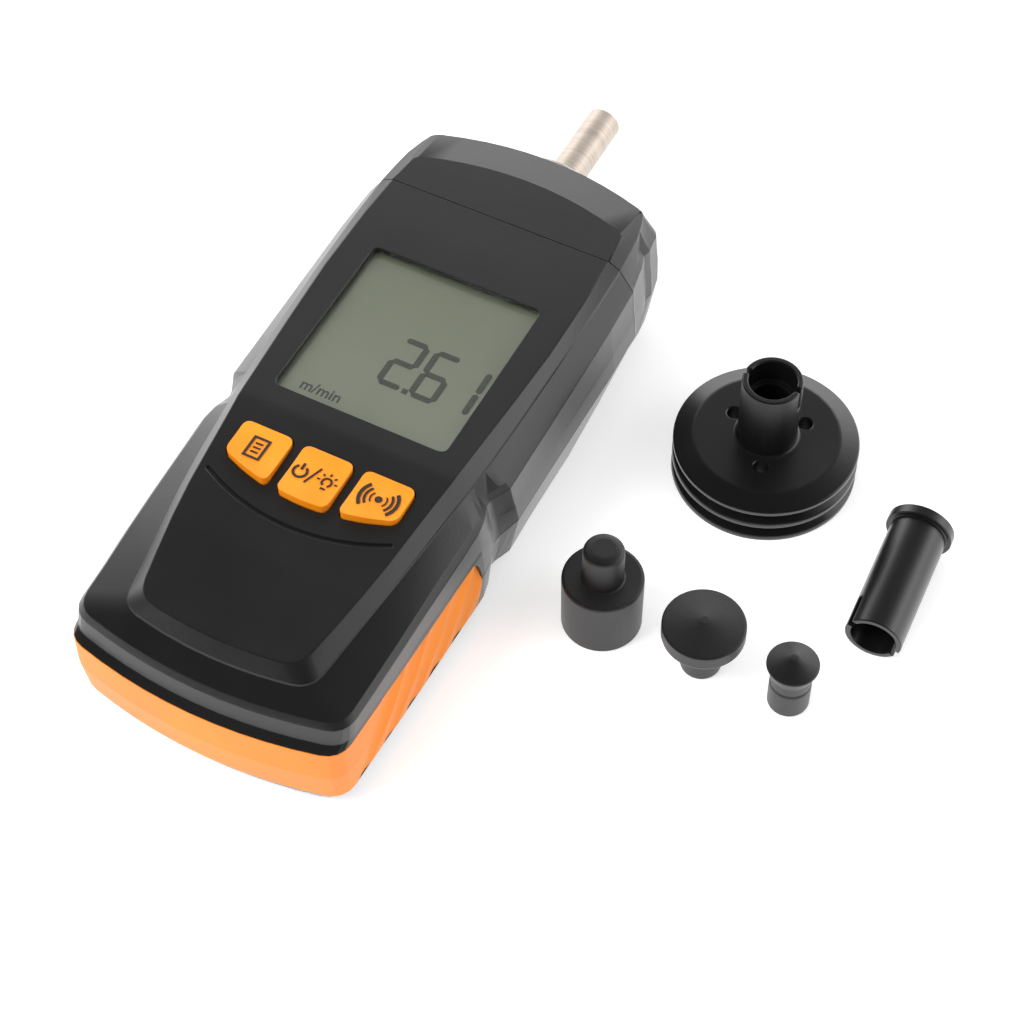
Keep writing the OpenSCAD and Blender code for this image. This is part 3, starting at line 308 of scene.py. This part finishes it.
def mergedMesh(node, name):
    # merged copy of a node's loose triangles, with flat neighbours joined
    work = bmesh.new()
    work.from_mesh(nodes[node].data)
    bmesh.ops.remove_doubles(work, verts=work.verts, dist=merging["reach"] * mm)
    bmesh.ops.dissolve_limit(work, angle_limit=math.radians(merging["flat"]), verts=work.verts,
                             edges=work.edges)
    mesh = bpy.data.meshes.new(name)
    work.to_mesh(mesh)
    work.free()
    mesh.materials.append(finishes[slotOf[node]])
    mesh.shade_smooth()
    kind = "turned" if slotOf[node] in ("wheel_plastic", "tip_rubber") else "moulded"
    mesh.set_sharp_from_angle(angle=math.radians(roundings[kind]))
    return mesh


for node, (name, width) in roundedNodes.items():
    piece = pieceOf(name, mergedMesh(node, name), bodyOf(node))
    bevel = piece.modifiers.new("edges", "BEVEL")
    bevel.width = width * mm
    bevel.segments = roundings["segments"]
    bevel.limit_method = "ANGLE"
    bevel.angle_limit = math.radians(roundings["angle"])
    bevel.use_clamp_overlap = slotOf[node] in ("orange_key", "orange_grip")
    piece.modifiers.new("faces", "WEIGHTED_NORMAL").keep_sharp = True
    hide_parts(node)
print("rounded copies:", len(roundedNodes))


# Printed signs: thin plates repeated on points
def signTree():
    # a shape on each point, turned and stretched by the point's own values
    tree = bpy.data.node_groups.new("signsOnPoints", "GeometryNodeTree")
    tree.interface.new_socket("Geometry", in_out="INPUT", socket_type="NodeSocketGeometry")
    tree.interface.new_socket("Shape", in_out="INPUT", socket_type="NodeSocketObject")
    tree.interface.new_socket("Finish", in_out="INPUT", socket_type="NodeSocketMaterial")
    tree.interface.new_socket("Geometry", in_out="OUTPUT", socket_type="NodeSocketGeometry")
    given = addNode(tree, "NodeGroupInput")
    shape = addNode(tree, "GeometryNodeObjectInfo", {"Object": given.outputs["Shape"]})
    turn = addNode(tree, "GeometryNodeInputNamedAttribute", {"Name": "turn"}, data_type="FLOAT_VECTOR")
    grow = addNode(tree, "GeometryNodeInputNamedAttribute", {"Name": "grow"}, data_type="FLOAT_VECTOR")
    copies = addNode(tree, "GeometryNodeInstanceOnPoints", {"Points": given.outputs["Geometry"],
                                                            "Instance": shape.outputs["Geometry"],
                                                            "Rotation": turn, "Scale": grow})
    solid = addNode(tree, "GeometryNodeRealizeInstances", {"Geometry": copies})
    finish = addNode(tree, "GeometryNodeSetMaterial", {"Geometry": solid,
                                                       "Material": given.outputs["Finish"]})
    addNode(tree, "NodeGroupOutput", {"Geometry": finish})
    return tree


signsOnPoints = signTree()


def plate(outline, thick):
    # flat plate with its underside at zero, in metres
    work = bmesh.new()
    face = work.faces.new([work.verts.new((x, y, 0)) for x, y in outline])
    top = bmesh.ops.extrude_face_region(work, geom=[face])["geom"]
    raised = [part for part in top if isinstance(part, bmesh.types.BMVert)]
    bmesh.ops.translate(work, verts=raised, vec=(0, 0, thick))
    bmesh.ops.recalc_face_normals(work, faces=work.faces)
    return work


def arcOutline(radius, width, start, end, steps=14):
    turns = [math.radians(start + (end - start) * i / steps) for i in range(steps + 1)]

    def ring(r, angles):
        return [(r * math.cos(angle), r * math.sin(angle)) for angle in angles]
    return ring(radius + width / 2, turns) + ring(radius - width / 2, reversed(turns))


def meshFrom(holder):
    # plain mesh of an object as its modifiers or its text leave it
    bpy.context.view_layer.update()
    return bpy.data.meshes.new_from_object(holder.evaluated_get(bpy.context.evaluated_depsgraph_get()))


def signs(name, outline, rows, thick, height, finish, body):
    # rows are x, y, turn in degrees, stretch along x and y; all lengths in millimetres
    shapeMesh = bpy.data.meshes.new(name + "Shape")
    work = plate([(x * mm, y * mm) for x, y in outline], thick * mm)
    work.to_mesh(shapeMesh)
    work.free()
    shape = bpy.data.objects.new(name + "Shape", shapeMesh)
    scene.collection.objects.link(shape)
    points = bpy.data.meshes.new(name + "Points")
    points.from_pydata([(x * mm, y * mm, height * mm) for x, y, *_ in rows], [], [])
    turn = points.attributes.new("turn", "FLOAT_VECTOR", "POINT")
    grow = points.attributes.new("grow", "FLOAT_VECTOR", "POINT")
    for i, (_, _, angle, alongX, alongY) in enumerate(rows):
        turn.data[i].vector = (0, 0, math.radians(angle))
        grow.data[i].vector = (alongX, alongY, 1)
    holder = bpy.data.objects.new(name + "Holder", points)
    scene.collection.objects.link(holder)
    modifier = holder.modifiers.new("signs", "NODES")
    modifier.node_group = signsOnPoints
    sockets = {item.name: item.identifier for item in signsOnPoints.interface.items_tree
               if item.in_out == "INPUT"}
    modifier[sockets["Shape"]] = shape
    modifier[sockets["Finish"]] = finish
    made = meshFrom(holder)
    made.name = name
    holder.modifiers.remove(modifier)
    bpy.data.objects.remove(holder)
    bpy.data.objects.remove(shape)
    pieceOf(name, made, body)


# liquid crystal segments, see-through in the real cell, so they are drawn dark grey and not black
displayInk = plainFinish("displaySegments", "#2f3029", "#36372f", rough=(0.4, 0.5), grain=0.3)
# screen-printed ink on the keys, dull near-black
keyInk = plainFinish("keyPrint", "#241a14", "#2e221a", rough=(0.5, 0.6), grain=0.3)

# The display's digits, point and unit, in millimetres
display = {"top": 35.4, "thick": 0.05, "stroke": 1.4, "tall": 12.1, "wide": 5.0, "gap": 0.1,
           "point": (4.15, 2.5), "pointSize": 1.3}
unit = {"text": "m/min", "at": (-15.7, -6.4), "tall": 3.7, "bolder": 0.06, "merge": 0.0005}
digitPlaces = {"2": (0.4, 8.7), "6": (7.9, 8.6), "1": (15.1, 8.6)}
segmentsOf = {"2": "abged", "6": "afgedc", "1": "bc"}
# one segment, long and thin, pointed at both ends
segment = {"half": 5, "shoulder": 4.1, "halfWide": 0.5}


def digitRows():
    rows = []
    halfTall, halfWide = display["tall"] / 2, display["wide"] / 2
    bars = {"a": (0, halfTall, 0), "g": (0, 0, 0), "d": (0, -halfTall, 0),
            "b": (halfWide, halfTall / 2, 90), "c": (halfWide, -halfTall / 2, 90),
            "f": (-halfWide, halfTall / 2, 90), "e": (-halfWide, -halfTall / 2, 90)}
    for digit, (x, y) in digitPlaces.items():
        for letter in segmentsOf[digit]:
            dx, dy, angle = bars[letter]
            length = display["wide"] if angle == 0 else halfTall
            stretch = (length - display["gap"]) / (segment["half"] * 2)
            rows.append((x + dx, y + dy, angle, stretch, display["stroke"]))
    return rows


def segmentOutline():
    end, side, wide = segment["half"], segment["shoulder"], segment["halfWide"]
    return [(-end, 0), (-side, -wide), (side, -wide), (end, 0), (side, wide), (-side, wide)]


# bar one long and one wide, which its rows stretch
bar = [(-0.5, -0.5), (0.5, -0.5), (0.5, 0.5), (-0.5, 0.5)]


def displaySign(name, outline, rows):
    signs(name, outline, rows, display["thick"], display["top"], displayInk, "case")


def displayWord(name):
    curve = bpy.data.curves.new(name, "FONT")
    curve.body = unit["text"]
    curve.size = unit["tall"] * mm
    curve.extrude = display["thick"] * mm / 2
    curve.offset = unit["bolder"] * mm
    holder = bpy.data.objects.new(name + "Holder", curve)
    scene.collection.objects.link(holder)
    made = meshFrom(holder)
    bpy.data.objects.remove(holder)
    x, y = unit["at"]
    made.transform(Matrix.Translation((x * mm, y * mm, (display["top"] + display["thick"] / 2) * mm)))
    work = bmesh.new()
    work.from_mesh(made)
    bmesh.ops.remove_doubles(work, verts=work.verts, dist=unit["merge"] * mm)
    work.to_mesh(made)
    work.free()
    made.materials.clear()
    made.materials.append(displayInk)
    pieceOf(name, made, "case")


displaySign("displayDigits", segmentOutline(), digitRows())
displaySign("displayPoint", bar, [(*display["point"], 0, display["pointSize"], display["pointSize"])])
displayWord("displayUnit")
print("display: digits, point and unit")

# Signs on the keys, in millimetres: left a page with lines, middle power and lamp, right a dot
# with sound arcs
keySigns = {"top": 38.37, "thick": 0.05, "line": 0.55, "thin": 0.8, "middle": -25.4}
keyXs = {"left_key": -13.9, "middle_key": 0.0, "right_key": 13.9}
page = {"halfWide": 1.7, "halfTall": 2.43, "side": 5.4, "edge": 2.85, "text": 1.7, "pitch": 1.1}
power = {"at": (-3.3, -26.4), "radius": 1.45, "from": 125, "to": 415, "barY": -25.1, "bar": 1.7}
slash = {"at": (-0.5, -26.2), "turn": -20, "long": 4.8}
lamp = {"at": (2.8, -26.5), "radius": 1.0, "from": -62, "to": 242, "footY": -28.2, "foot": 1.1,
        "rays": (5, 48, 90, 132, 175), "rayAt": 1.95, "ray": 0.65, "rayThin": 0.7}
sound = {"dot": 0.4, "dotWide": 0.79, "dotEnd": 359.9, "arc": 1.75, "arcThin": 0.6, "spread": 42,
         "sizes": (1, 1.65, 2.3)}
line = keySigns["line"]
thinLine = line * keySigns["thin"]


def keySign(name, outline, rows, body):
    places = [(keyXs[body] + row[0], *row[1:]) for row in rows]
    signs(name, outline, places, keySigns["thick"], keySigns["top"], keyInk, body)


def pageRows():
    y = keySigns["middle"]
    sides = [(x, y, 0, line, page["side"]) for x in (-page["halfWide"], page["halfWide"])]
    ends = [(0, y + rise, 0, page["edge"], line) for rise in (page["halfTall"], -page["halfTall"])]
    text = [(0, y + rise, 0, page["text"], thinLine) for rise in (page["pitch"], 0, -page["pitch"])]
    return sides + ends + text


def lampRayRows():
    x, y = lamp["at"]
    rows = []
    for angle in lamp["rays"]:
        turn = math.radians(angle)
        rows.append((x + lamp["rayAt"] * math.cos(turn), y + lamp["rayAt"] * math.sin(turn), angle,
                     lamp["ray"], line * lamp["rayThin"]))
    return rows


keySign("pageSign", bar, pageRows(), "left_key")
keySign("powerRing", arcOutline(power["radius"], line, power["from"], power["to"]),
        [(*power["at"], 0, 1, 1)], "middle_key")
keySign("powerBar", bar, [(power["at"][0], power["barY"], 0, line, power["bar"]),
                          (*slash["at"], slash["turn"], thinLine, slash["long"]),
                          (lamp["at"][0], lamp["footY"], 0, lamp["foot"], thinLine)], "middle_key")
keySign("lampRing", arcOutline(lamp["radius"], thinLine, lamp["from"], lamp["to"]),
        [(*lamp["at"], 0, 1, 1)], "middle_key")
keySign("lampRays", bar, lampRayRows(), "middle_key")
keySign("soundDot", arcOutline(sound["dot"], sound["dotWide"], 0, sound["dotEnd"]),
        [(0, keySigns["middle"], 0, 1, 1)], "right_key")
soundArcs = [(0, keySigns["middle"], side, size, size) for side in (0, 180) for size in sound["sizes"]]
keySign("soundArcs", arcOutline(sound["arc"], line * sound["arcThin"], -sound["spread"], sound["spread"]),
        soundArcs, "right_key")
print("key signs")


# Floor, light and camera, in metres
studio = {"floorSize": 6.0, "floorTone": "#efefef", "floorRough": 0.7, "floorGlow": 0.45,
          "floorMirror": 1.0, "worldLight": 0.75, "mirrorLight": 4.2, "roomLight": 0.08,
          "sweepFrom": -0.2, "sweepTo": 0.5}
# what mirrors see by height over the horizon: a bright sweep behind, dark above
mirrorBands = [(0.0, 0.45), (0.25, 0.8), (0.42, 1.0), (0.56, 0.42), (0.72, 0.07), (1.0, 0.03)]
lamps = {
    "keyLamp": {"place": (-0.5, -0.55, 0.85), "aim": (0.02, 0.0, 0.02), "size": 0.6, "energy": 10.0},
    "fillLamp": {"place": (0.75, 0.25, 0.55), "aim": (0.03, 0.0, 0.02), "size": 0.6, "energy": 2.0},
}
white = (1, 1, 1, 1)


def seenRays(tree, rays):
    # 1 for what the camera sees, straight or through the window
    return addNode(tree, "ShaderNodeMath", {0: rays.outputs["Is Camera Ray"],
                                            1: rays.outputs["Is Transmission Ray"]}, operation="MAXIMUM")


def whiteTableTop():
    # white laminate sweep: camera and mirror rays see it brighter than its colour, and it keeps the shadow
    shader = {"Roughness": studio["floorRough"], "Base Color": linearOf(studio["floorTone"]),
              "Emission Color": white}
    material, tree, surface = newMaterial("whiteTableTop", shader)
    rays = addNode(tree, "ShaderNodeLightPath")
    glow = addNode(tree, "ShaderNodeMath", {0: seenRays(tree, rays), 1: studio["floorGlow"]},
                   operation="MULTIPLY")
    glow = addNode(tree, "ShaderNodeMath", {0: rays.outputs["Is Glossy Ray"], 1: studio["floorMirror"],
                                            2: glow}, operation="MULTIPLY_ADD")
    feed(tree, surface, {"Emission Strength": glow})
    return material


def studioWorld():
    # camera rays see white, mirrors see the bands, and everything else gets one even level
    world = bpy.data.worlds.new("studioWorld")
    world.use_nodes = True
    tree = world.node_tree
    tree.nodes.clear()
    rays = addNode(tree, "ShaderNodeLightPath")
    where = addNode(tree, "ShaderNodeTexCoord")
    heading = addNode(tree, "ShaderNodeSeparateXYZ", {"Vector": where.outputs["Generated"]})
    bands = addNode(tree, "ShaderNodeValToRGB", {"Fac": heading.outputs["Z"]},
                    stops=[(at, (tone, tone, tone, 1)) for at, tone in mirrorBands])
    # the bright sweep stands behind the object; the room in front of it is dark
    behind = addNode(tree, "ShaderNodeMapRange", {"Value": heading.outputs["Y"],
                                                  "From Min": studio["sweepFrom"],
                                                  "From Max": studio["sweepTo"],
                                                  "To Min": studio["roomLight"],
                                                  "To Max": studio["mirrorLight"]})
    mirrored = addNode(tree, "ShaderNodeMath", {0: bands, 1: behind}, operation="MULTIPLY")
    level = addNode(tree, "ShaderNodeMapRange", {"Value": rays.outputs["Is Glossy Ray"],
                                                 "To Min": studio["worldLight"], "To Max": mirrored})
    level = addNode(tree, "ShaderNodeMapRange", {"Value": seenRays(tree, rays), "To Min": level,
                                                 "To Max": 1.0})
    sky = addNode(tree, "ShaderNodeBackground", {"Color": white, "Strength": level})
    addNode(tree, "ShaderNodeOutputWorld", {"Surface": sky})
    return world


def softLamp(name, made):
    light = bpy.data.lights.new(name, "AREA")
    light.shape = "RECTANGLE"
    light.size = light.size_y = made["size"]
    light.energy = made["energy"]
    holder = bpy.data.objects.new(name, light)
    holder.location = made["place"]
    aim = Vector(made["aim"]) - Vector(made["place"])
    holder.rotation_euler = aim.to_track_quat("-Z", "Y").to_euler()
    # mirrors see the bands of the world instead
    holder.visible_glossy = False
    scene.collection.objects.link(holder)


half = studio["floorSize"] / 2
floorMesh = bpy.data.meshes.new("tableTop")
floorMesh.from_pydata([(-half, -half, 0), (half, -half, 0), (half, half, 0), (-half, half, 0)], [],
                      [(0, 1, 2, 3)])
floorMesh.materials.append(whiteTableTop())
floor = bpy.data.objects.new("tableTop", floorMesh)
scene.collection.objects.link(floor)
scene.world = studioWorld()
for name, made in lamps.items():
    softLamp(name, made)

# camera of the photograph: the directions of its right, up and back, then its place
lens = {"right": (0.88553969, 0.46452166, -0.00625256), "up": (-0.3700204, 0.71339768, 0.5951039),
        "back": (0.28089921, -0.52467454, 0.80362445), "placeMm": (179.184, -278.742, 440.732),
        "focalMm": 90.25, "sensorMm": 36, "clip": (0.01, 30)}
camera = bpy.data.cameras.new("photoCamera")
camera.sensor_width = lens["sensorMm"]
camera.lens = lens["focalMm"]
camera.clip_start, camera.clip_end = lens["clip"]
view = bpy.data.objects.new("photoCamera", camera)
columns = [Vector(lens[k]) for k in ("right", "up", "back")]
turned = Matrix(columns).transposed().to_4x4()
view.matrix_world = Matrix.Translation(Vector(lens["placeMm"]) * mm) @ turned
scene.collection.objects.link(view)
scene.camera = view
scene.view_settings.view_transform = "Standard"
print("floor, world, lamps and camera")
